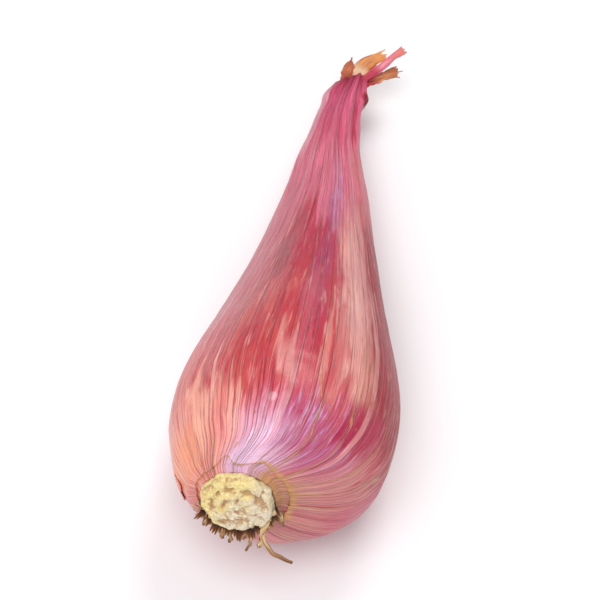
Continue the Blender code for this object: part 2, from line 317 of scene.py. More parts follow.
# %% One class for a value in a material
class Wire:
    """The output of a node, which can be used in an expression."""

    def __init__(self, finish, socket):
        self.finish, self.socket = finish, socket

    def maths(self, operation, *values):
        return self.finish.node("ShaderNodeMath", {"operation": operation}, dict(enumerate(values)))

    def __add__(self, other):
        return self.maths("ADD", self, other)

    def __radd__(self, other):
        return self.maths("ADD", other, self)

    def __sub__(self, other):
        return self.maths("SUBTRACT", self, other)

    def __rsub__(self, other):
        return self.maths("SUBTRACT", other, self)

    def __mul__(self, other):
        return self.maths("MULTIPLY", self, other)

    def __rmul__(self, other):
        return self.maths("MULTIPLY", other, self)

    def __truediv__(self, other):
        return self.maths("DIVIDE", self, other)

    def __pow__(self, other):
        return self.maths("POWER", self, other)

    def at_least(self, other):
        """The larger of the two values."""
        return self.maths("MAXIMUM", self, other)

    def size(self):
        """The value without its sign."""
        return self.maths("ABSOLUTE", self)

class Finish:
    """A material under construction."""

    def __init__(self, name):
        self.material = bpy.data.materials.new(name)
        self.material.use_nodes = True
        self.tree = self.material.node_tree
        self.tree.nodes.clear()

    def node(self, kind, settings=None, sockets=None, out=0):
        """Adds a node: its settings are set first, then each socket gets its value or its link."""
        node = self.tree.nodes.new(kind)
        for key, value in (settings or {}).items():
            if key == "stops":
                ramp = node.color_ramp
                while len(ramp.elements) < len(value):
                    ramp.elements.new(1.0)
                for element, (position, colour) in zip(ramp.elements, value):
                    element.position, element.color = position, colour
            else:
                setattr(node, key, value)
        for key, value in (sockets or {}).items():
            if isinstance(value, Wire):
                self.tree.links.new(value.socket, node.inputs[key])
            else:
                node.inputs[key].default_value = value
        return Wire(self, node.outputs[out]) if node.outputs else None

    def attribute(self, key, out):
        return self.node("ShaderNodeAttribute", {"attribute_name": key}, out=out)

    def rise(self, value, start, end):
        """0 up to start and 1 from end on, with an easy slope between; works backwards too."""
        return self.node(
            "ShaderNodeMapRange", {"interpolation_type": "SMOOTHSTEP"},
            {"Value": value, "From Min": start, "From Max": end},
        )

    def band(self, value, start, full, fades, end):
        """1 between full and fades, 0 outside start to end."""
        return self.rise(value, start, full) * self.rise(value, end, fades)

    def blend(self, under, over, mask):
        """A colour over another where the mask is 1."""
        return self.node("ShaderNodeMix", {"data_type": "RGBA"}, {0: mask, 6: under, 7: over}, out=2)

    def lay(self, under, tint, mask):
        """A colour given as on a screen, laid where the mask is 1."""
        return self.blend(under, colour(*tint), mask)

    def shade(self, colour, factor):
        """A colour times a value: darker below 1 and lighter above."""
        grey = self.vector(factor, factor, factor)
        return self.node("ShaderNodeVectorMath", {"operation": "MULTIPLY"}, {0: colour, 1: grey})

    def vector(self, x, y, z):
        return self.node("ShaderNodeCombineXYZ", {}, {"X": x, "Y": y, "Z": z})

    def noise(self, vector, scale=1.0, detail=2.0, roughness=0.5, distortion=0.0):
        return self.node("ShaderNodeTexNoise", {}, {
            "Vector": vector, "Scale": scale, "Detail": detail, "Roughness": roughness,
            "Distortion": distortion,
        })

    def bump(self, height, distance, strength=1.0):
        return self.node(
            "ShaderNodeBump", {}, {"Height": height, "Distance": distance, "Strength": strength}, out="Normal"
        )

    def surface(self, sockets):
        """Ends the material with a Principled shader and returns it."""
        shader = self.node("ShaderNodeBsdfPrincipled", {}, sockets)
        self.node("ShaderNodeOutputMaterial", {}, {"Surface": shader})
        return self.material


def colour(red, green, blue):
    """A colour mixed on a screen, 0 to 255, as the light values that a shader works with."""
    def light(step):
        step /= 255
        return step / 12.92 if step <= 0.04045 else ((step + 0.055) / 1.055) ** 2.4
    return (light(red), light(green), light(blue), 1.0)


# %% [markdown]
# ## Where a point lies on the bulb
# Pigment lies along the veins, so every colour on a shallot is streaked lengthwise and no patch has a
# clean border. The material therefore measures a point in several ways: its turn round the bulb in
# degrees, its place along the axis and its reach along the skin in millimetres, and noises drawn out
# along the bulb. Each frayed measure is a true one that the noises push to and fro.

# %% Measures for the masks
FRAYED = {
    # the measure that each starts from, and how far broad, middling and fine streaks push it
    "turn": ("true turn", 20, 20, 8),
    "edge turn": ("true turn", 14, 0, 0),
    "patch turn": ("true turn", 0, 0, 30),
    "station": ("place", 0, 12, 9),
    "loose station": ("place", 0, 12, 14),
    "near reach": ("reach", 0, 3.2, 3.2),
    "loose reach": ("reach", 0, 6, 7),
    "looser reach": ("reach", 0, 8.4, 9.8),
}


def stretched(skin, at, count, per_mm, seed=0.0):
    """Where to look in a texture: details round the bulb grow with count, and along it with per_mm."""
    return skin.vector(at["across"] * count, at["upwards"] * count + seed, at["place"] * per_mm + seed)


def streaks(skin, at, count, per_mm, detail=3.0, seed=0.0, wavy=0.0):
    """Noise drawn out along the bulb."""
    return skin.noise(stretched(skin, at, count, per_mm, seed), detail=detail, roughness=0.55, distortion=wavy)


def skin_measures(skin):
    """All that a mask can be measured by, under the names that the tables below use."""
    split = skin.node("ShaderNodeSeparateXYZ", {}, {0: skin.attribute("grain", "Vector")})
    at = {key: Wire(skin, split.socket.node.outputs[axis])
          for key, axis in (("across", "X"), ("upwards", "Y"), ("place", "Z"))}
    at.update({key: skin.attribute(key, "Fac") for key in ("reach", "dryness", "girth")})
    at["broad"] = streaks(skin, at, 3.0, 0.05, seed=4.0)
    at["middling"] = streaks(skin, at, 9.0, 0.12, seed=9.0, wavy=0.5)
    at["fine"] = streaks(skin, at, 24.0, 0.22, detail=4.0, seed=2.0, wavy=0.7)
    at["hairline"] = streaks(skin, at, 64.0, 0.3, detail=2.0, seed=6.0, wavy=0.4)
    at["patchy"] = skin.noise(stretched(skin, at, 2.2, 0.16), detail=4.0, roughness=0.6)
    true_turn = at["across"].maths("ARCTAN2", at["across"], at["upwards"]) * (180 / math.pi)
    at["true turn"], at["turn from top"] = true_turn, true_turn.size()
    for key, (start, *pushes) in FRAYED.items():
        at[key] = at[start]
        for noises, push in zip(("broad", "middling", "fine"), pushes):
            if push:
                at[key] = at[key] + (at[noises] - 0.5) * push
    at["from scar"] = ((at["reach"] - SCAR_REACH) * 1.7) ** 2 + ((true_turn - SCAR_TURN) * 0.36) ** 2
    along, around = (at["place"] - KNOT_PLACE) / KNOT_LENGTH, (true_turn - KNOT_TURN) / KNOT_SPREAD
    at["from knot"] = along ** 2 + around ** 2
    return at


def mask(skin, at, strength, *limits):
    """A strength times one factor for each limit: a measure's name, then where a slope starts and ends,
    or where a band starts, is full, fades and ends."""
    for measure, *bounds in limits:
        strength = strength * (skin.band if len(bounds) == 4 else skin.rise)(at[measure], *bounds)
    return strength


print("frayed measures:", ", ".join(FRAYED))

# %% [markdown]
# ## The skin's colours
# Shallot skin is not one red. The base runs from rose at the root through brick red on the belly to pink
# on the neck, where the skin is doubled and dry. Over it lie patches where the outermost skin has thinned
# or peeled: salmon on the left flank, a pale beige band beside the outer skin's edge, deep red towards
# the right, and lilac round the root, where the living scale shows through. The deep red on the right is
# partly painted shade, and whitish streaks at the root are partly painted highlight. They are laid on one
# another like washes of paint, and a table is the shortest way to write so many: a colour, how strongly
# it is laid, and the limits that make its mask.

# %% The washes, in the order in which they are laid
BASE_FROM, BASE_TO = -12, 57
BASE = [
    (-12, (200, 124, 130)), (-5, (196, 92, 100)), (4, (194, 78, 82)), (14, (184, 66, 74)),
    (26, (186, 72, 92)), (34, (210, 104, 128)), (41, (220, 122, 142)), (46, (224, 108, 134)),
    (51, (224, 112, 142)), (57, (202, 80, 112)),
]
LEFT = ("turn", -30, -64), ("true turn", -150, -110)
LOW_LEFT = ("turn", -8, -26), ("true turn", -140, -88), ("station", 1, -5)
GLOW = (250, 192, 166)
PALE = ("turn", 22, 33, 46, 60), ("station", -6, 2, 29, 38)
RED_AND_SHADE_RIGHT = ("turn", 42, 58, 112, 134), ("station", -9, -3, 26, 38)
# the right flank, where the deep red is partly the skin's own colour and partly painted shade
PURPLE = ("turn", -2, 12, 48, 68), ("loose reach", 1.0, 4.5, 8.5, 14.0)
DUSTY = ("turn", 52, 74, 150, 175), ("loose reach", 14, 6)
WASHES = [
    # the left flank: mauve above, salmon, orange and two glowing stripes towards the root
    ((198, 116, 128), 0.85, *LEFT, ("station", 2, 14, 30, 44)),
    ((214, 118, 114), 0.90, *LEFT, ("station", 12, 2)),
    ((244, 168, 150), 0.90, *LOW_LEFT, ("middling", 0.28, 0.6)),
    ((238, 156, 122), 0.75, ("turn", -112, -92, -62, -44), ("near reach", 1, 3, 7, 11)),
    (GLOW, 0.55, ("turn", -62, -54, -44, -38), ("station", -10, -7, -3, 2)),
    (GLOW, 0.385, ("turn", -34, -29, -24, -18), ("station", -10, -7, -3, 2)),
    # brick red down the middle, crimson nearer the neck, greyish dark lines on the upper left
    ((178, 58, 70), 0.88, ("turn", -56, -24, 12, 28), ("loose station", -9, 4, 26, 38)),
    ((206, 98, 92), 0.60, ("turn", -44, -26, -4, 6), ("station", -4, 2, 13, 19), ("middling", 0.36, 0.6)),
    ((178, 58, 80), 0.60, ("turn", -44, -30, 2, 10), ("station", 17, 23, 29, 34)),
    ((138, 78, 84), 0.75, ("turn", -44, -34, -20, -12), ("station", 9, 16, 26, 31), ("fine", 0.47, 0.6)),
    # purple and lilac streaks right of the top
    ((164, 66, 106), 0.65, ("turn", 2, 7, 14, 20), ("station", -2, 6, 31, 36), ("station", 0, 24)),
    ((196, 96, 112), 0.60, ("turn", 1, 4, 9, 12), ("station", -2, 3, 14, 20)),
    ((204, 142, 176), 0.75, ("turn", 7, 13, 24, 32), ("station", 25, 31, 38, 44), ("fine", 0.36, 0.56)),
    ((228, 134, 156), 0.60, ("turn", -10, -3, 6, 12), ("station", 26, 30, 35, 40)),
    # the pale band beside the edge of the outer skin, its gold side, and the edge itself
    ((218, 146, 142), 0.85, *PALE),
    ((236, 178, 166), 0.75, ("turn", 24, 32, 50, 58), ("station", -5, 0, 24, 33), ("middling", 0.26, 0.72)),
    ((236, 184, 152), 0.50, ("turn", 44, 48, 54, 58), ("station", -5, -1, 8, 13), ("fine", 0.36, 0.62)),
    ((232, 168, 150), 0.45, ("edge turn", 18.0, 19.8, 21.0, 23.4), ("station", -6, -2, 9, 15)),
    ((190, 84, 88), 0.50, ("turn", 26, 29, 32, 35), ("station", -6, -3, 8, 14)),
    # deep red on the right flank, partly its own colour and partly painted shade, tan where the neck begins,
    # pinks on the neck
    ((148, 28, 42), 0.94, *RED_AND_SHADE_RIGHT),
    ((196, 110, 102), 0.70, ("turn", 44, 54, 76, 96), ("station", 30, 34, 42, 48), ("middling", 0.36, 0.6)),
    ((228, 166, 178), 0.75, ("turn", -100, -84, -66, -50), ("station", 40, 45, 54, 58)),
    ((196, 56, 84), 0.80, ("turn", 48, 58, 96, 120), ("station", 44, 48, 51, 54), ("middling", 0.4, 0.6)),
    # round the root: lilac in the middle with whitish streaks of painted highlight, purple and crimson to its
    # right, dusty pink further down
    ((216, 158, 186), 0.80, ("turn", -34, -14, 0, 16), ("looser reach", 13.5, 5.5)),
    ((174, 86, 124), 0.80, *PURPLE, ("middling", 0.3, 0.56)),
    ((164, 48, 78), 0.60, *PURPLE, ("fine", 0.5, 0.64)),
    ((186, 150, 206), 0.60, *PURPLE, ("fine", 0.48, 0.34)),
    ((228, 184, 208), 0.85, ("turn", -36, -18, 26, 46), ("near reach", 5.5, 1.5)),
    # painted highlight: whitish lilac streaks, partly pale skin and partly painted highlight
    ((236, 210, 234), 0.85, ("turn", -24, -12, 10, 26), ("near reach", 0, 1.0, 5.5, 9.5), ("fine", 0.44, 0.6)),
    ((168, 54, 80), 0.85, ("turn", 36, 44, 62, 78), ("near reach", 6.5, 8.5, 12.5, 15)),
    ((192, 122, 118), 0.85, *DUSTY),
    ((168, 58, 84), 0.60, *DUSTY, ("fine", 0.52, 0.66)),
    ((186, 70, 100), 0.70, ("turn", 92, 108, 130, 150), ("near reach", 3, 6, 14, 18)),
    ((204, 152, 132), 0.70, ("turn", 34, 60, 120, 165), ("near reach", 4.2, 0.6), ("middling", 0.36, 0.6)),
    ((200, 144, 108), 0.60, ("patch turn", 22, 44, 84, 112), ("near reach", 2.0, 0.4)),
    # the far side, in broad patches of the same colours, and the pale scar near the root
    ((210, 130, 120), 0.70, ("turn from top", 100, 122), ("broad", 0.5, 0.64)),
    ((164, 56, 76), 0.60, ("turn from top", 100, 122), ("broad", 0.46, 0.34)),
    ((240, 208, 214), 0.35, ("from scar", 1.6, 0.3)),
    # streaks over everything
    ((156, 38, 56), 0.42, ("fine", 0.52, 0.76)),
    ((238, 180, 172), 0.40, ("fine", 0.47, 0.25)),
]
print("washes on the skin:", len(WASHES))

# %% [markdown]
# ## Veins in the skin
# Hair-thin veins run the whole length of the bulb, dark in one scale and pale in another. A thread is
# where a drawn-out noise passes through its middle value, which gives lines that never cross. The tan
# veins that fan out from the root plate are few and each has its own course, so they are listed.

# %% Threads and the fan of root veins
ROOT_VEINS = [                                          # turn, drift per mm, how far, half width in mm
    (34, -1.1, 20, 0.17), (50, -0.6, 22, 0.15), (63, 0.5, 24, 0.16), (80, 0.9, 17, 0.20),
    (97, 0.8, 14, 0.16), (14, -0.8, 9, 0.11), (-12, 0.5, 7, 0.10), (-38, 0.0, 8, 0.12),
    (-64, -0.4, 10, 0.11), (122, 0.4, 12, 0.15), (150, -0.3, 16, 0.14), (178, 0.5, 10, 0.14),
    (-150, 0.3, 15, 0.15), (-118, -0.6, 12, 0.13),
]


def threads(skin, at, count, seed, width):
    """1 on thin lines along the bulb."""
    wave = streaks(skin, at, count, 0.012, detail=0.0, seed=seed)
    return skin.rise((wave - 0.5).size(), width, width * 0.2)


def root_fan(skin, at):
    """1 on the tan veins that fan out from the root plate."""
    fan = None
    swerve = (at["broad"] - 0.5) * 26 + (at["middling"] - 0.5) * 5
    for turn, drift, end, half_width in ROOT_VEINS:
        off = (at["true turn"] - ((at["reach"] - 2) * drift + turn) + swerve).size()
        across_mm = off * at["girth"] * (math.pi / 180)
        line = skin.rise(across_mm, half_width, half_width * 0.35) * skin.rise(at["reach"], end, end * 0.5)
        fan = line if fan is None else fan.at_least(line)
    return fan


print("root veins:", len(ROOT_VEINS))

# %% [markdown]
# The skin is thin, smooth and a little waxy, which a coat over a half-rough base shows best. The coat
# fails where the skin is dry, on the knot, and on the right flank, whose deep red is partly painted shade.
# Gloss lays white over the pigment, so the pigment itself has to be a little deeper than it looks.

# %% The skin material
COAT, COAT_ROUGHNESS, SKIN_ROUGHNESS, SKIN_RELIEF = 0.34, 0.23, 0.34, 0.00026
DEEPER, BRIGHTER = 1.07, 1.1


def skin_finish(name):
    skin = Finish(name)
    at = skin_measures(skin)
    hairline, patchy, middling, fine = (at[key] for key in ("hairline", "patchy", "middling", "fine"))

    stops = [((place - BASE_FROM) / (BASE_TO - BASE_FROM), colour(*tint)) for place, tint in BASE]
    along_base = (at["station"] - BASE_FROM) / (BASE_TO - BASE_FROM)
    paint = skin.node("ShaderNodeValToRGB", {"stops": stops}, {0: along_base})
    for tint, strength, *limits in WASHES:
        paint = skin.lay(paint, tint, mask(skin, at, strength, *limits))
    paint = skin.shade(paint, 1 + (hairline - 0.5) * 0.36 * (0.4 + skin.rise(at["reach"], 2, 14) * 0.6))
    paint = skin.shade(paint, 0.86 + patchy * 0.28)

    veins = threads(skin, at, 12.0, 21.0, 0.034) * skin.rise(patchy, 0.32, 0.5)
    pale_veins = threads(skin, at, 10.0, 33.0, 0.030) * skin.rise(patchy, 0.64, 0.46)
    fan = root_fan(skin, at)
    band_lines = threads(skin, at, 17.0, 51.0, 0.04)
    for tint, strength, *limits in (
        ((142, 42, 58), veins * 0.42, ("place", 54, 36)),
        ((242, 188, 180), pale_veins * 0.36, ("place", 52, 30)),
        ((176, 84, 88), band_lines * 0.55, *PALE, ("middling", 0.36, 0.5)),
        ((198, 150, 108), fan * (0.45 + patchy * 0.6) * 0.9),
    ):
        paint = skin.lay(paint, tint, mask(skin, at, strength, *limits))

    # brown specks near the root, the dried end of the neck, its knot, and torn edges
    at["specks"] = skin.node("ShaderNodeTexVoronoi", {"feature": "F1"}, {
        "Vector": stretched(skin, at, 13, 0.85), "Scale": 1.0, "Randomness": 1.0}, out="Distance")
    at["tip"] = at["place"] + (fine - 0.5) * 4
    at["torn"] = at["dryness"] + (fine - 0.5) * 0.5
    for tint, strength, *limits in (
        ((164, 116, 74), 0.75, ("specks", 0.21, 0.11), ("reach", 24, 12), ("middling", 0.5, 0.6)),
        ((172, 48, 70), 0.80, ("tip", 54.6, 57.2)),
        ((132, 8, 16), 1.00, ("from knot", 1.7, 0.4)),
        ((204, 154, 108), 0.85, ("torn", 0.25, 0.75)),
    ):
        paint = skin.lay(paint, tint, mask(skin, at, strength, *limits))
    deeper = {"Saturation": DEEPER, "Value": BRIGHTER, "Color": paint}

    crinkle = skin.noise(stretched(skin, at, 16, 0.7), detail=5.0, roughness=0.62)
    height = fine * 0.7 + hairline * 0.4 + crinkle * 0.5
    height = height + (veins + pale_veins) * 0.4 + fan * 0.5 + middling * 0.8
    glossy = (1 - at["dryness"]) * (1 - mask(skin, at, 0.75, *RED_AND_SHADE_RIGHT))
    return skin.surface({
        "Base Color": skin.node("ShaderNodeHueSaturation", {}, deeper),
        "Roughness": SKIN_ROUGHNESS + crinkle * 0.16 + at["dryness"] * 0.3,
        "Normal": skin.bump(height, SKIN_RELIEF, 1.0),
        "Coat Weight": mask(skin, at, glossy * COAT, ("from knot", 0.8, 2.0)),
        "Coat Roughness": COAT_ROUGHNESS,
        "IOR": 1.45,
        "Specular IOR Level": 0.42,
    })


shallot_skin = skin_finish("shallot skin")

# %% [markdown]
# ## The bulb
# The table of points becomes the bulb's skin, closed at both ends by rings that shrink to the middle. At
# the root the closing rings dip inwards under the cork, and at the neck they sink into the dried end.

# %% Close the ends and make the bulb
def closing_rings(ring, depths, inwards):
    """Rings from a ring to its middle. Depths give each one's size as a share, and how far in it lies."""
    middle = ring.mean(axis=0)
    return np.array([middle + (ring - middle) * share + inwards * depth for share, depth in depths])


ROOT_CLOSING = [
    (0.04, 0.5), (0.5, 0.5), (0.76, 0.3), (0.83, -0.3), (0.86, -0.6), (0.895, -0.6), (0.935, -0.4),
    (0.975, -0.14),
]
NECK_CLOSING = [(0.97, -0.10), (0.9, -0.16), (0.78, -0.05), (0.6, 0.4), (0.3, 0.8), (0.03, 0.9)]
root_rings = closing_rings(skin_points[0], ROOT_CLOSING, FORWARD)
neck_rings = closing_rings(skin_points[-1], NECK_CLOSING, -FORWARD)
bulb_points = np.concatenate([root_rings, skin_points, neck_rings])


def ring_values(values, at_root, at_neck):
    """A value for each row of the bulb, with the values that the closing rings take at both ends."""
    return np.concatenate([np.full(len(root_rings), at_root), values, np.full(len(neck_rings), at_neck)])


def grain_table(*parts):
    """A table of vectors from three tables or single numbers, for the attribute that textures look up."""
    return np.stack(np.broadcast_arrays(*parts), axis=-1)


bulb_stations = ring_values(stations, stations[0], stations[-1])
dry_side = 0.2 + 0.8 * rise(abs(degrees - 100), 110, 50)
bulb_mesh = sheet_mesh("shallot_bulb", bulb_points, True, {
    "grain": grain_table(np.sin(TURNS)[None], np.cos(TURNS)[None], bulb_stations[:, None]),
    "reach": ring_values(reaches, 0.0, reaches[-1])[:, None],
    "dryness": ring_values(0.5 * rise(reaches, 0.9, 0.0), 0.62, 0.0)[:, None] * dry_side,
    "girth": ring_values(outline_at(reaches), outline_at(0.0), outline_at(reaches[-1]))[:, None],
})
place_piece("shallot_bulb", bulb_mesh, shallot_skin, ["bulb"])
print("bulb faces:", len(bulb_mesh.polygons))

# %% [markdown]
# ## The root plate
# What looks like a pale button is the short stem that the roots grew from, dried to cork. Its face is a
# maze of low lumps where roots broke off, and its rim hangs over a narrower waist. It could be sculpted by
# hand, but a profile turned round an axis and roughened with noise of several sizes gives the same broken
# surface and can be changed with a number. How deep each point lies is kept, so that darker tan and
# painted shade can be put into the hollows and on the waist under the rim.

# %% Cork material
def cork_finish():
    cork = Finish("root cork")
    hollow = cork.attribute("hollow", "Fac")
    grain = cork.attribute("grain", "Vector")
    patches = cork.noise(grain, scale=0.55, detail=4.0, roughness=0.6)
    crumbs = cork.noise(grain, scale=3.2, detail=5.0, roughness=0.7)
    fibres = cork.noise(grain, scale=9.0, detail=3.0, roughness=0.6)
    split = cork.node("ShaderNodeSeparateXYZ", {}, {0: grain})
    patches = patches + Wire(cork, split.socket.node.outputs["Y"]) * 0.05 - split * 0.05
    paint = cork.blend(colour(232, 216, 178), colour(242, 220, 146), cork.rise(patches, 0.42, 0.72))
    for tint, measure, start, end, strength in (
        ((228, 216, 196), patches, 0.46, 0.2, 0.7),                             # paler, down and to the right
        ((210, 176, 138), crumbs, 0.48, 0.66, 0.6),                             # tan crumbs
        # near-white crumbs: partly pale cork and partly painted highlight on the matte lumps
        ((254, 248, 226), crumbs, 0.46, 0.34, 0.7),                             # and cream ones
        ((184, 138, 96), hollow + (crumbs - 0.5) * 0.6, 0.22, 0.5, 0.8),        # darker tan in the hollows
        # painted shade: dark brown in the deepest hollows and on the waist under the overhanging rim
        ((104, 62, 34), hollow + (crumbs - 0.5) * 0.4, 0.62, 0.95, 0.85),
    ):
        paint = cork.lay(paint, tint, cork.rise(measure, start, end) * strength)
    paint = cork.shade(paint, 0.86 + fibres * 0.28)
    return cork.surface({
        "Base Color": paint,
        "Roughness": 0.78 + crumbs * 0.14,
        "Normal": cork.bump(crumbs * 0.9 + fibres * 0.35, 0.00025, 0.9),
        "Specular IOR Level": 0.35,
    })


# %% The plate's shape
PLATE_RADIUS, PLATE_THICKNESS = 4.35, 1.9
plate_centre = middle_at(-ROOT_LENGTH)
OUT = -FORWARD                                          # the way the plate's face looks


def on_plate(aside, down, away):
    """A point given from the middle of the plate's foot: to the side, down across its face, and out."""
    aside, down, away = (np.asarray(value, float)[..., None] for value in (aside, down, away))
    return plate_centre + aside * SIDE - down * UP + away * OUT


def noise_over(points, scale, seed):
    """Noise at each point of a table."""
    x, y, z = np.moveaxis(points * scale, -1, 0)
    return noise_at(x + seed, y, z - seed)


PLATE_AROUND, PLATE_ROWS, PROFILE_SMOOTHINGS = 220, 84, 3
PROFILE_PLACES = [0, 0.12, 0.22, 0.30, 0.38, 0.46, 0.56, 0.72, 0.86, 1.0]
PROFILE_RADII = [0.84, 0.86, 0.97, 1.0, 1.0, 0.95, 0.82, 0.56, 0.30, 0.0]
PROFILE_HEIGHTS = [-0.45, 0.25, 0.66, 1.05, 1.5, 1.9, 2.15, 2.3, 2.3, 2.28]
along_profile = np.linspace(0, 1, PLATE_ROWS)
plate_radii = np.interp(along_profile, PROFILE_PLACES, PROFILE_RADII) * PLATE_RADIUS
plate_heights = np.interp(along_profile, PROFILE_PLACES, PROFILE_HEIGHTS)
for profile in (plate_radii, plate_heights):
    for _ in range(PROFILE_SMOOTHINGS):
        profile[1:-1] = (profile[:-2] + profile[1:-1] + profile[2:]) / 3
plate_turns = np.arange(PLATE_AROUND) * 2 * math.pi / PLATE_AROUND
circle_x, circle_y = np.sin(plate_turns)[None], -np.cos(plate_turns)[None]
across_plate = plate_radii[:, None]
plate_local = grain_table(across_plate * circle_x, across_plate * circle_y, plate_heights[:, None])


# %% Lumps on the cork, and the plate
def knobs(scale, seed):
    """Rounded knobs with narrow creases between them."""
    return np.sqrt(abs(noise_over(plate_local, scale, seed)) + 0.02) * 2 - 0.85


lumps = noise_over(plate_local, 1.1, 7.0)
grit = noise_over(plate_local, 4.5, 5.0)
swirl = np.cos(plate_radii[:, None] * 3.4 + 3.0 * noise_over(plate_local, 0.4, 2.0))
free = rise(along_profile, 0.08, 0.25)[:, None]
centre_quiet = rise(plate_radii, 0.1, 0.8)[:, None]
cork_height = 0.34 * knobs(0.62, 3.0) + 0.2 * knobs(1.35, 8.0) + 0.16 * lumps + 0.06 * grit + 0.14 * swirl
cork_height = cork_height * free
ragged_rim = 1 + (0.05 * noise_over(plate_local * [1, 1, 0], 0.5, 1.0) + 0.035 * lumps) * free
face_share = rise(along_profile, 0.28, 0.5)[:, None]
sideways = (1 - face_share) * cork_height * 0.5 * centre_quiet
plate_shape = on_plate(
    plate_local[..., 0] * ragged_rim + sideways * circle_x,
    -(plate_local[..., 1] * ragged_rim + sideways * circle_y),
    plate_local[..., 2] + face_share * cork_height,
)
# how deep a point lies; the waist under the rim counts as deep, and the cork paints shade there
hollow = np.clip(0.26 - cork_height, 0, 1) * (0.5 + 0.5 * face_share) + 0.6 * (1 - free)
plate_mesh = sheet_mesh("root_plate_cork", plate_shape, True, {"grain": plate_local, "hollow": hollow})
place_piece("root_plate_cork", plate_mesh, cork_finish(), ["root_plate"])
print("cork height, mm:", cork_height.min().round(2), "to", cork_height.max().round(2))

# %% [markdown]
# ## Dry roots
# Each root is a tough cord that shrivelled and snapped. A bevelled curve would give an even pipe, so each
# is a tube swept along its route with its own arithmetic: thinner towards the tip, squeezed out of round
# by noise, and wandering a little. Cream where it leaves the cork, it turns brown at its broken end.

# %% Root material
def root_finish():
    root = Finish("dry root")
    grain = root.attribute("grain", "Vector")
    run = root.attribute("run", "Fac")
    stripes = root.noise(grain, scale=1.0, detail=4.0, roughness=0.6)
    crumbs = root.noise(grain, scale=5.0, detail=3.0, roughness=0.6)
    paint = root.blend(colour(226, 200, 152), colour(196, 158, 108), root.rise(stripes, 0.42, 0.6))
    paint = root.lay(paint, (150, 98, 62), root.rise(run + (stripes - 0.5) * 0.9, 0.45, 0.8) * 0.8)
    paint = root.lay(paint, (88, 44, 38), root.rise(run + (stripes - 0.5) * 0.6, 0.8, 1.05) * 0.85)
    paint = root.shade(paint, 0.84 + crumbs * 0.32)
    return root.surface({
        "Base Color": paint,
        "Roughness": 0.68 + crumbs * 0.2,
        "Normal": root.bump(stripes + crumbs * 0.5, 0.00015, 0.8),
        "Specular IOR Level": 0.4,
    })


root_material = root_finish()

# %% Sweep a tube along a route
def eased_route(points, count):
    """A smooth curve through a few points: positions at even steps."""
    points = np.asarray(points, float)
    knots = np.linspace(0, 1, len(points))
    slopes = np.gradient(points, knots, axis=0)
    at = np.linspace(0, 1, count)
    piece = np.clip(np.searchsorted(knots, at, side="right") - 1, 0, len(points) - 2)
    width = knots[1] - knots[0]
    t = ((at - knots[piece]) / width)[:, None]
    return (
        points[piece] * (2 * t**3 - 3 * t**2 + 1) + slopes[piece] * width * (t**3 - 2 * t**2 + t)
        + points[piece + 1] * (3 * t**2 - 2 * t**3) + slopes[piece + 1] * width * (t**3 - t**2)
    )


SIDES, SQUEEZE = 14, 0.3
SIDE_TURNS = np.arange(SIDES) * 2 * math.pi / SIDES


def swept_tube(route, radii_along, seed):
    """Rings round a route, out of round and wandering, with a blunt start and end."""
    circle = np.cos(SIDE_TURNS), np.sin(SIDE_TURNS)
    ways = np.gradient(route, axis=0)
    ways /= np.linalg.norm(ways, axis=1, keepdims=True)
    first = np.cross(ways[0], (0.3, 0.2, 1.0))
    rings = []
    for step, way in enumerate(ways):
        first = first - way * (first @ way)
        first /= np.linalg.norm(first)
        second = np.cross(way, first)
        uneven = 1 + SQUEEZE * noise_at(circle[0] * 1.3 + seed, circle[1] * 1.3, step * 0.16 + seed)
        spokes = np.outer(circle[0], first) + np.outer(circle[1], second)
        rings.append(route[step] + (radii_along[step] * uneven)[:, None] * spokes)
    start, end = rings[0].mean(axis=0), rings[-1].mean(axis=0)
    blunt, closed = ways[-1] * radii_along[-1] * 0.4, ways[-1] * radii_along[-1] * 0.3
    return np.array([
        start + (rings[0] - start) * 0.02, *rings,
        end + (rings[-1] - end) * 0.55 + blunt, end + (rings[-1] - end) * 0.04 - closed,
    ])


def tube_attributes(points, seed):
    """Texture places that stretch along a tube, and how far along it each ring lies, 0 to 1."""
    run = np.linspace(0, 1, len(points))[:, None]
    around = np.cos(SIDE_TURNS)[None] * 1.6 + seed, np.sin(SIDE_TURNS)[None] * 1.6
    return {"grain": grain_table(*around, run * 2.2 + seed), "run": run}


# %% The eight roots, along the routes of the solid ones
ROOT_DIAMETER, CLEARANCE, PLATE_LUMPS = 0.8, 0.3, 0.4
ROOTS = [                                               # turn, thickness, middle and tip from the start
    (-44.0, 0.90, (-0.3, 0.6, 0.2), (-0.7, 1.2, 0.5)),
    (-21.0, 1.20, (-0.1, 0.8, 0.3), (0.1, 1.7, 0.5)),
    (-6.0, 0.85, (-0.2, 1.4, 0.7), (-0.3, 2.9, 1.2)),
    (8.0, 1.25, (0.0, 0.8, 0.3), (0.1, 1.7, 0.3)),
    (23.0, 0.70, (-0.1, 1.6, 0.8), (-0.6, 3.4, 1.0)),
    (38.0, 0.95, (-0.1, 1.3, 0.6), (-0.1, 2.7, 1.0)),
    (57.0, 1.05, (0.1, 2.4, 0.8), (2.6, 4.9, 1.9)),
    (75.0, 1.00, (0.4, 0.8, 0.2), (0.7, 1.7, 0.3)),
]
LONG_ROOT, LONG_ROOT_BENDS = 7, [(-0.9, 1.2, 0.5), (-0.8, 2.9, 0.9), (0.4, 4.0, 1.3), (2.6, 4.9, 1.9)]
ROOT_STEPS, FORK_STEP, WANDER, KNOBBLY = 60, 34, 0.4, 0.22


def root_points(route, widths, seed):
    """A tube along a route that is given from the middle of the plate's foot."""
    return swept_tube(on_plate(*np.asarray(route).T), widths, seed)


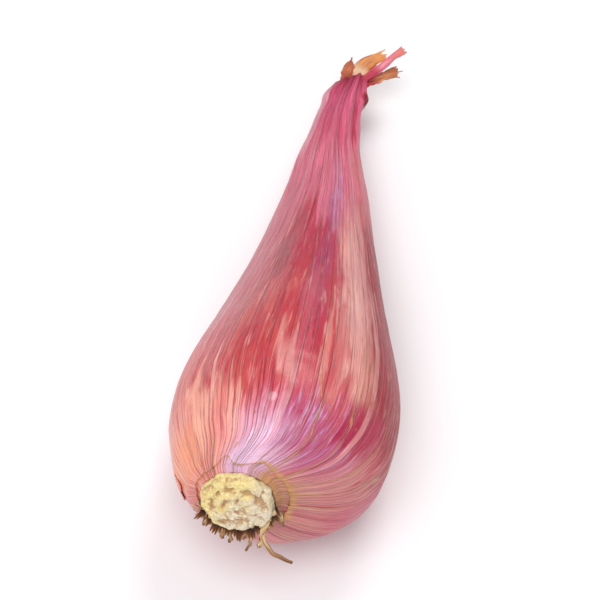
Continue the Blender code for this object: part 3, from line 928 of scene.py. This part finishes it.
for number, (turn, thickness, middle, tip) in enumerate(ROOTS, start=1):
    turn = math.radians(turn)
    out = PLATE_RADIUS + CLEARANCE + 0.2 * ROOT_DIAMETER * thickness + 0.2 * PLATE_LUMPS
    start = np.array([out * math.sin(turn), out * math.cos(turn), 0.5 * PLATE_THICKNESS + CLEARANCE])
    inner = np.array([start[0] * 0.82, start[1] * 0.82, start[2] - 0.1])
    bends = LONG_ROOT_BENDS if number == LONG_ROOT else np.array([middle, tip]) * (0.62 + 0.13 * (number % 3))
    local = eased_route([inner, start] + [start + bend for bend in bends], ROOT_STEPS)
    share = np.linspace(0, 1, ROOT_STEPS)
    steps = np.arange(ROOT_STEPS)
    wander = noise_at(steps[:, None] * 0.12, number * 3.1, np.arange(3) * 5.0)
    local = local + wander * WANDER * share[:, None]
    knobbly = 1 + KNOBBLY * noise_at(steps * 0.2, number * 1.7, 3.0)
    tapering = (1.0 - 0.5 * share) * (1 + 0.35 * rise(share, 0.3, 0))
    widths = ROOT_DIAMETER / 2 * thickness * tapering * knobbly
    points = root_points(local, widths, number * 2.3)
    mesh = sheet_mesh(f"dry_root_{number}", points, True, tube_attributes(points, number * 2.3))
    place_piece(f"dry_root_{number}", mesh, root_material, [f"root_stub_{number}"])
    if number == LONG_ROOT:
        fork = local[FORK_STEP]
print("roots:", len(ROOTS))

# %% [markdown]
# ## The torn collar round the plate
# Where the outer skins meet the root plate they have split and dried to a thin tan frill. It is a strip
# all the way round: its outer side lies on the bulb, and its ragged inner side stands off by up to a
# quarter of a millimetre. It takes its points from the bulb's own table, so it can't miss the surface,
# and it shares the skin's material, which dries to tan as the dryness attribute rises.

# %% Points lifted off the skin
along_rows = np.gradient(skin_points, axis=0)
round_columns = np.roll(skin_points, -1, axis=1) - np.roll(skin_points, 1, axis=1)
skin_normals = np.cross(round_columns, along_rows)
skin_normals /= np.linalg.norm(skin_normals, axis=-1, keepdims=True)
if (skin_normals[start_row] * OUTWARDS).sum() < 0:
    skin_normals = -skin_normals
print("normals point outwards:", bool(((skin_normals * OUTWARDS).sum(-1) > 0).mean() > 0.9))


def bulb_surface(reach, turn_degrees, lift):
    """A point lifted off the bulb: so far along the skin from the root face, and at that turn."""
    reach, turn_degrees, lift = np.broadcast_arrays(reach, turn_degrees, lift)
    rows = np.interp(reach, reaches, np.arange(ROWS))
    columns = (turn_degrees % 360) / 360 * AROUND
    row = np.clip(np.floor(rows).astype(int), 0, ROWS - 2)
    column = np.floor(columns).astype(int) % AROUND
    following = (column + 1) % AROUND
    f, g = (rows - row)[..., None], (columns - np.floor(columns))[..., None]

    def read(table):
        nearby = table[row, column] * (1 - g) + table[row, following] * g
        further = table[row + 1, column] * (1 - g) + table[row + 1, following] * g
        return nearby * (1 - f) + further * f

    return read(skin_points) + read(skin_normals) * lift[..., None]


def skin_attributes(reach, turn_degrees, dryness):
    """What the skin's material reads, for points that lie over the bulb."""
    reach, turn = np.broadcast_arrays(reach, np.radians(turn_degrees))
    return {
        "grain": grain_table(np.sin(turn), np.cos(turn), np.interp(reach, reaches, stations)),
        "reach": reach, "dryness": dryness, "girth": outline_at(reach),
    }


def thicken(piece, thickness):
    """Gives a sheet its thickness in millimetres, half on each side."""
    solid = piece.modifiers.new("thickness", "SOLIDIFY")
    solid.thickness, solid.offset = thickness * MM, 0.0


# %% The collar
COLLAR_COLUMNS, COLLAR_ROWS, COLLAR_WIDTH, COLLAR_THICKNESS = 420, 12, 1.9, 0.05
collar_turns = np.arange(COLLAR_COLUMNS) * 360 / COLLAR_COLUMNS
collar_angle = np.radians(collar_turns)
tears = sum(depth * noise_at(np.sin(collar_angle) * size, np.cos(collar_angle) * size, seed)
            for size, seed, depth in ((3.0, 2.0, 0.9), (11.0, 4.0, 0.5)))
from_top = (collar_turns + 180) % 360 - 180
peaks = sum(height * np.exp(-(((from_top - turn) / spread) ** 2))
            for height, turn, spread in ((1.75, -24, 8.5), (0.85, 20, 12.0)))
right_side = rise(abs(from_top - 75), 75, 40)
inner_reach = 0.15 + 0.4 * np.abs(tears) + peaks + 0.45 * right_side
outer_reach = inner_reach + COLLAR_WIDTH + 0.5 * tears
collar_share = np.linspace(0, 1, COLLAR_ROWS)[:, None]
collar_reach = outer_reach * (1 - collar_share) + inner_reach * collar_share
collar_lift = -0.06 + (0.14 + 0.16 * np.clip(tears + 0.5, 0, 1)) * collar_share**1.5
collar_dryness = np.clip(collar_share ** (6.0 - 3.4 * right_side) + 0.3 * tears * collar_share**2, 0, 1)
collar_points = bulb_surface(collar_reach, collar_turns[None], collar_lift)
collar_mesh = sheet_mesh(
    "papery_collar", collar_points, True, skin_attributes(collar_reach, collar_turns[None], collar_dryness)
)
collar = place_piece("papery_collar", collar_mesh, shallot_skin, ["bulb"])
thicken(collar, COLLAR_THICKNESS)
print("collar, mm from the root face:", inner_reach.min().round(2), "to", outer_reach.max().round(2))

# %% [markdown]
# ## Root fibres
# Between the thick roots hang thin fibres. Many loose pieces would be heavy to handle, so the fibres are
# swept tubes joined in one mesh. Their directions come from a random generator with a fixed seed, which
# gives the same fibres every time.

# %% The fibres
def joined_tubes(name, tubes):
    """One mesh from several swept tubes."""
    vertices, faces, grain, run = [], [], [], []
    for number, points in enumerate(tubes):
        part = sheet_mesh(f"{name}_{number}", points, True, tube_attributes(points, number * 1.9))
        first = len(vertices)
        vertices += [tuple(vertex.co) for vertex in part.vertices]
        faces += [[first + index for index in face.vertices] for face in part.polygons]
        grain += [value for item in part.attributes["grain"].data for value in item.vector]
        run += [item.value for item in part.attributes["run"].data]
        bpy.data.meshes.remove(part)
    mesh = bpy.data.meshes.new(name)
    mesh.from_pydata(vertices, [], faces)
    mesh.attributes.new("grain", "FLOAT_VECTOR", "POINT").data.foreach_set("vector", grain)
    mesh.attributes.new("run", "FLOAT", "POINT").data.foreach_set("value", run)
    mesh.shade_smooth()
    return mesh


FIBRES, FIBRE_STEPS, BRANCH_STEPS, BRANCH_WIDTH = 34, 16, 18, 0.27
chance = np.random.default_rng(11)
fibres = []
for number in range(FIBRES):
    turn = math.radians(chance.uniform(-66, 92))
    start = np.array([math.sin(turn), math.cos(turn), 0.0]) * chance.uniform(3.9, 4.5)
    start = start + [0, 0, chance.uniform(0.3, 1.4)]
    lean = turn * 0.5 + chance.normal(0, 0.5)
    length = chance.uniform(0.5, 1.9) * (0.6 if abs(turn) > 1.1 else 1.0)
    way = np.array([math.sin(lean), math.cos(lean), chance.uniform(-0.25, 0.5)])
    bend = np.array([chance.normal(0, 0.35), chance.normal(0, 0.2), chance.normal(0, 0.25)])
    halfway = start + way * length * 0.5 + bend * length * 0.4
    route = eased_route([start - way * 0.4, start, halfway, start + way * length], FIBRE_STEPS)
    widths = chance.uniform(0.06, 0.15) * np.linspace(1.2, 0.5, FIBRE_STEPS)
    fibres.append(root_points(route, widths, number * 1.3))
branch = eased_route([fork, fork + [-0.35, 0.5, 0.0], fork + [-0.5, 1.1, -0.1]], BRANCH_STEPS)
fibres.append(root_points(branch, BRANCH_WIDTH * np.linspace(0.9, 1.1, BRANCH_STEPS), 5.5))
fibre_mesh = joined_tubes("root_fibres", fibres)
place_piece("root_fibres", fibre_mesh, root_material, ["root_plate"])
print("fibres:", len(fibres), "faces:", len(fibre_mesh.polygons))

# %% [markdown]
# ## Painted shade behind the roots
# Behind the roots lies a dark ragged sheet of painted shade: it darkens the gaps between the plate's lower
# rim, the roots and the bulb, where shadow falls. It is a strip that comes out from under the plate's lower
# rim and ends in a fringe, almost black at its foot and paler at its tips.

# %% The sheet of painted shade
MAT_FROM, MAT_TO, MAT_FADE = 78, 256, 18                # degrees
MAT_COLUMNS, MAT_ROWS, MAT_THICKNESS = 420, 14, 0.06
mat_turns = np.linspace(MAT_FROM, MAT_TO, MAT_COLUMNS)
mat_share = np.linspace(0, 1, MAT_ROWS)[:, None]
fringe = abs(noise_at(mat_turns * 0.06, 3.0, 1.0)) * 1.6 + abs(noise_at(mat_turns * 0.25, 8.0, 2.0)) * 1.2
mat_ends = rise(mat_turns, MAT_FROM, MAT_FROM + MAT_FADE) * rise(mat_turns, MAT_TO, MAT_TO - MAT_FADE)
mat_away = 0.45 + (1.35 + 0.75 * fringe) * mat_share * mat_ends
mat_radius = 3.95 + (0.85 + 0.7 * fringe) * mat_share * mat_ends
mat_angle = np.radians(mat_turns)
mat_points = on_plate(mat_radius * np.sin(mat_angle), -mat_radius * np.cos(mat_angle), mat_away)
mat_mesh = sheet_mesh("root_shade_sheet", mat_points, False, {
    "grain": grain_table(mat_turns[None] * 0.16, mat_share * 0.6, 0.0), "run": mat_share,
})


def painted_shade_finish():
    """Painted shade: dark threads whose far ends are tan."""
    mat = Finish("painted shade behind roots")
    strands = mat.noise(mat.attribute("grain", "Vector"), scale=3.0, detail=5.0, roughness=0.7)
    far = mat.attribute("run", "Fac") + (strands - 0.5) * 0.8
    paint = mat.blend(colour(58, 26, 10), colour(112, 62, 30), mat.rise(far, 0.55, 0.85))
    paint = mat.lay(paint, (196, 154, 108), mat.rise(far, 0.86, 1.1))
    return mat.surface({"Base Color": paint, "Roughness": 0.8, "Normal": mat.bump(strands, 0.0003, 1.0)})


root_shade_sheet = place_piece("root_shade_sheet", mat_mesh, painted_shade_finish(), ["root_plate"])
thicken(root_shade_sheet, MAT_THICKNESS)
print("mat faces:", len(mat_mesh.polygons))

# %% [markdown]
# ## The torn flap
# Beside the root plate a corner of the outermost skin has come loose. It follows the bulb at its foot,
# leaves it a little more and more towards its free edge, which is ragged, and narrows on the way. It is
# still the same skin, so it takes the skin's own material and reads the same places in it.

# %% The flap
FLAP_COLUMNS, FLAP_ROWS, FLAP_THICKNESS = 40, 30, 0.12
flap_turns = -np.linspace(97, 123, FLAP_COLUMNS)
flap_share = np.linspace(0, 1, FLAP_ROWS)[:, None]
flap_from, flap_to = -0.5 * ROOT_LENGTH, -0.78 * ROOT_LENGTH
flap_edge = noise_at(flap_turns * 0.13, 9.0, 1.0) + 0.35 * noise_at(flap_turns * 0.4, 2.0, 7.0)
flap_station = flap_from + (flap_to - flap_from) * flap_share - 0.7 * flap_share**3 * flap_edge[None]
flap_reach = np.interp(flap_station, stations, reaches)
flap_middle = np.mean(flap_turns)
flap_sides = 1.05 - 0.62 * flap_share**1.5 + 0.1 * np.sin(flap_share * 9.0)
flap_spread = flap_middle + (flap_turns - flap_middle) * flap_sides + 5.0 * flap_share**2
crumple = noise_at(flap_turns * 0.22, flap_share * 3.0, 4.0)
flap_lift = 0.02 - 0.12 * (1 - flap_share) ** 3 + 0.2 * flap_share**2 + 0.08 * crumple * flap_share
flap_dryness = 0.3 * flap_share**3 * (1 + 0.5 * flap_edge[None])
flap_points = bulb_surface(flap_reach, flap_spread, flap_lift)
flap_mesh = sheet_mesh("torn_flap", flap_points, False, skin_attributes(flap_reach, flap_spread, flap_dryness))
flap = place_piece("torn_flap", flap_mesh, shallot_skin, ["skin_flap"])
thicken(flap, FLAP_THICKNESS)
print("flap points:", flap_points.shape[:2])

# %% [markdown]
# ## Dry leaf ends
# At the tip the green leaves withered to scraps: a rolled pink wisp, a broad tan one torn to teeth, and
# brown bits that bend away. Each is a strip swept along its own bend and rolled across its width, like
# the solid ones that it stands for, with crumples and torn teeth added, and given thickness.

# %% Leaf material
LEAF_ROUGHNESS = 0.55


def leaf_finish(name, foot, body, streak, end):
    """Dry leaf: its body is streaked along its length, and its foot and its end have their own colours."""
    leaf = Finish(name)
    grain = leaf.attribute("grain", "Vector")
    run = leaf.attribute("run", "Fac")
    fibres = leaf.noise(grain, scale=1.0, detail=4.0, roughness=0.6)
    blotches = leaf.noise(grain, scale=0.35, detail=3.0)
    paint = leaf.blend(colour(*body), colour(*streak), leaf.rise(fibres, 0.42, 0.62))
    paint = leaf.lay(paint, end, leaf.rise(run + (blotches - 0.5) * 0.9, 0.5, 0.95) * 0.85)
    paint = leaf.lay(paint, foot, leaf.rise(run + (fibres - 0.5) * 0.4, 0.58, 0.34) * 0.92)
    paint = leaf.shade(paint, 0.8 + fibres * 0.4)
    return leaf.surface({
        "Base Color": paint,
        "Roughness": LEAF_ROUGHNESS + (fibres - 0.5) * 0.2,
        "Normal": leaf.bump(fibres, 0.00018, 0.9),
        "Specular IOR Level": 0.4,
        "Sheen Weight": 0.1,
    })


# %% The four leaf ends as numbers
NECK_WIDTH, NECK_FLATNESS = 3.0, 0.68
LEAF_STEPS, LEAF_COLUMNS, LEAF_SUNK, LEAF_THICKNESS = 64, 34, 0.9, 0.1
LEAVES = {
    # name: CAD node, colours of foot, body, streaks and end; foot's place across and up the neck's end, as
    # shares of its half width and half height; the way it leaves and the way its tip points, each as side,
    # forward and up; length, width, roll in radians each side, depth of tears, and how much its tip flares
    "leaf_end_pink": (
        "dry_leaf_pink", ((186, 44, 70), (228, 104, 136), (242, 162, 176), (224, 124, 112)),
        (0.46, 0.5), (0.70, 0.66, 0.22), (0.66, 0.62, 0.42), 6.4, 1.35, 1.3, 0.22, 0.7,
    ),
    "leaf_end_tan": (
        "dry_leaf_tan", ((232, 196, 160), (184, 98, 58), (216, 146, 90), (228, 156, 88)),
        (-0.3, 0.25), (0.46, 0.88, 0.34), (0.78, 0.62, 0.14), 5.3, 2.5, 0.7, 0.4, 0.2,
    ),
    "leaf_end_brown": (
        "dry_leaf_brown", ((170, 36, 48), (192, 112, 80), (208, 146, 100), (180, 104, 60)),
        (0.5, 0.0), (0.74, 0.70, 0.08), (1.0, 0.34, 0.14), 4.7, 2.0, 0.6, 0.7, 0.5,
    ),
    "leaf_end_small": (
        "dry_leaf_small", ((180, 88, 60), (192, 104, 66), (206, 128, 84), (172, 90, 58)),
        (-0.52, 0.3), (0.1, 1.0, 0.42), (0.2, 0.92, 0.5), 2.5, 1.5, 0.5, 0.12, -0.5,
    ),
}
neck_end = middle_at(NECK_FACE - WIDEST)
print("leaf ends:", len(LEAVES))


# %% Sweep a strip for each leaf end
def leaf_points(foot, leaves, turns, length, width, rolled, torn, flares, seed):
    """Rows of points along a leaf end: each row is rolled across, ruffled, and torn towards the tip."""
    bends = np.linspace(-1, 1, LEAF_COLUMNS)
    place = np.array([foot[0] * NECK_WIDTH / 2, -LEAF_SUNK, foot[1] * NECK_WIDTH * NECK_FLATNESS / 2])
    teeth = noise_at(bends * 3.4, seed, 1.0) + 0.6 * noise_at(bends * 9.0, seed, 5.0)
    rows = []
    for share in np.arange(LEAF_STEPS) / (LEAF_STEPS - 1):
        way = np.array(leaves) * (1 - share) + np.array(turns) * share
        way /= np.linalg.norm(way)
        across = np.cross(way, (0.0, 0.0, 1.0))
        across /= np.linalg.norm(across)
        lifted = np.cross(across, way)
        taper = 0.62 + 0.38 * math.sin(math.pi * min(share * 1.1, 1)) - 0.2 * share**4
        radius = width / 2 / rolled * (taper + flares * rise(share, 0.72, 1.0))
        ruffle = 0.34 * noise_at(bends * 1.6, share * 4.5, seed) + 0.12 * noise_at(bends * 4, share * 9, seed)
        roll = rolled * bends * (1 + 0.18 * noise_at(share * 9, np.sign(bends), seed) * abs(bends))
        height = ruffle * min(1, share * 3) * min(width, 2) / 2 - radius * (1 - np.cos(roll))
        tear = torn * share**3 * teeth * 1.4
        row = np.outer(radius * np.sin(roll), across) + np.outer(height, lifted) + np.outer(tear, way)
        rows.append(place + row)
        place = place + way * (length + LEAF_SUNK) / (LEAF_STEPS - 1)
    return neck_end + np.array(rows) @ np.array([SIDE, FORWARD, UP])


run, side = np.linspace(0, 1, LEAF_STEPS)[:, None], np.linspace(-1, 1, LEAF_COLUMNS)[None]
for number, (name, (node, paints, *form)) in enumerate(LEAVES.items(), start=1):
    points = leaf_points(*form, seed=number * 4.7)
    grain = grain_table(side * 7 + number * 5, run * 2.2, float(number))
    mesh = sheet_mesh(name, points, False, {"grain": grain, "run": run})
    finish = leaf_finish(name.replace("_", " "), *paints)
    piece = place_piece(name, mesh, finish, [node])
    thicken(piece, LEAF_THICKNESS)
    print(name, "mm long:", round(float(np.linalg.norm(points[-1].mean(0) - points[0].mean(0))), 1))

# %% [markdown]
# ## Floor, light and camera
# A pale floor and soft light keep the eye on the skin. Glossy skin shows the lamps themselves, so their
# size and colour are part of the finish: a cool lamp low in front of the root end, like a window, gives
# the lilac gleam there, the main lamp stands high above, a broad dim one softens the left flank, and one
# behind brightens the neck. The camera looks down at a steep angle through a long lens, which keeps the
# bulb's proportions true.

# %% The floor
floor_finish = Finish("pale floor")
speckle = floor_finish.noise(floor_finish.node("ShaderNodeTexCoord", out="Object"), scale=60.0, detail=2.0)
floor_paint = floor_finish.blend(colour(243, 243, 244), colour(246, 246, 247), speckle)
floor_material = floor_finish.surface({"Base Color": floor_paint, "Roughness": 0.85, "Specular IOR Level": 0.2})
FLOOR_HALF = 3000
floor_points = [[(x, y, 0.0) for x in (-FLOOR_HALF, FLOOR_HALF)] for y in (-FLOOR_HALF, FLOOR_HALF)]
floor_mesh = sheet_mesh("floor", np.array(floor_points), False)
floor = bpy.data.objects.new("floor", floor_mesh)
floor.data.materials.append(floor_material)
bpy.context.scene.collection.objects.link(floor)
floor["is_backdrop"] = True

# %% Lamps and surroundings
low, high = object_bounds()
object_middle = (low + high) / 2 / MM
LAMPS = {
    # name: azimuth, elevation, distance, size, power, tint
    "window lamp": (4, 32, 900, 380, 2.3, (0.95, 0.94, 1.0)),
    "key lamp": (-10, 70, 900, 620, 3.9, (1.0, 0.995, 0.99)),
    "left lamp": (-78, 42, 900, 500, 1.0, (0.98, 0.97, 1.0)),
    "back lamp": (165, 50, 900, 400, 3.0, (1.0, 0.99, 0.98)),
}
WORLD_COLOUR, WORLD_STRENGTH = (0.985, 0.985, 1.0, 1.0), 0.36


def aim(name, data, target, azimuth, elevation, distance):
    """Places a lamp or a camera at an azimuth and elevation in degrees, looking at a target."""
    a, e = math.radians(azimuth), math.radians(elevation)
    back = Vector((math.sin(a) * math.cos(e), -math.cos(a) * math.cos(e), math.sin(e)))
    holder = bpy.data.objects.new(name, data)
    holder.location = (Vector(target) + back * distance) * MM
    holder.rotation_mode = "QUATERNION"
    holder.rotation_quaternion = back.to_track_quat("Z", "Y")
    bpy.context.scene.collection.objects.link(holder)
    return holder


for name, (azimuth, elevation, distance, size, power, tint) in LAMPS.items():
    lamp = bpy.data.lights.new(name, "AREA")
    lamp.shape, lamp.size, lamp.energy, lamp.color = "DISK", size * MM, power, tint
    aim(name, lamp, object_middle, azimuth, elevation, distance)
world = bpy.data.worlds.new("studio")
world.use_nodes = True
background = world.node_tree.nodes["Background"]
background.inputs["Color"].default_value = WORLD_COLOUR
background.inputs["Strength"].default_value = WORLD_STRENGTH
bpy.context.scene.world = world
bpy.context.scene.view_settings.view_transform = "Standard"
print("lamps:", ", ".join(LAMPS))

# %% Camera
VIEW_AZIMUTH, VIEW_ELEVATION, VIEW_DISTANCE, FRAME_WIDTH = 8.5, 57.0, 700.0, 72.0
AIM = (-0.9, 16.6, 8.0)
camera_data = bpy.data.cameras.new("camera")
camera_data.sensor_width = 36.0
camera_data.lens = camera_data.sensor_width * VIEW_DISTANCE / FRAME_WIDTH
camera_data.clip_start, camera_data.clip_end = 0.05, 20.0
bpy.context.scene.camera = aim("camera", camera_data, AIM, VIEW_AZIMUTH, VIEW_ELEVATION, VIEW_DISTANCE)
print("lens, mm:", round(camera_data.lens))
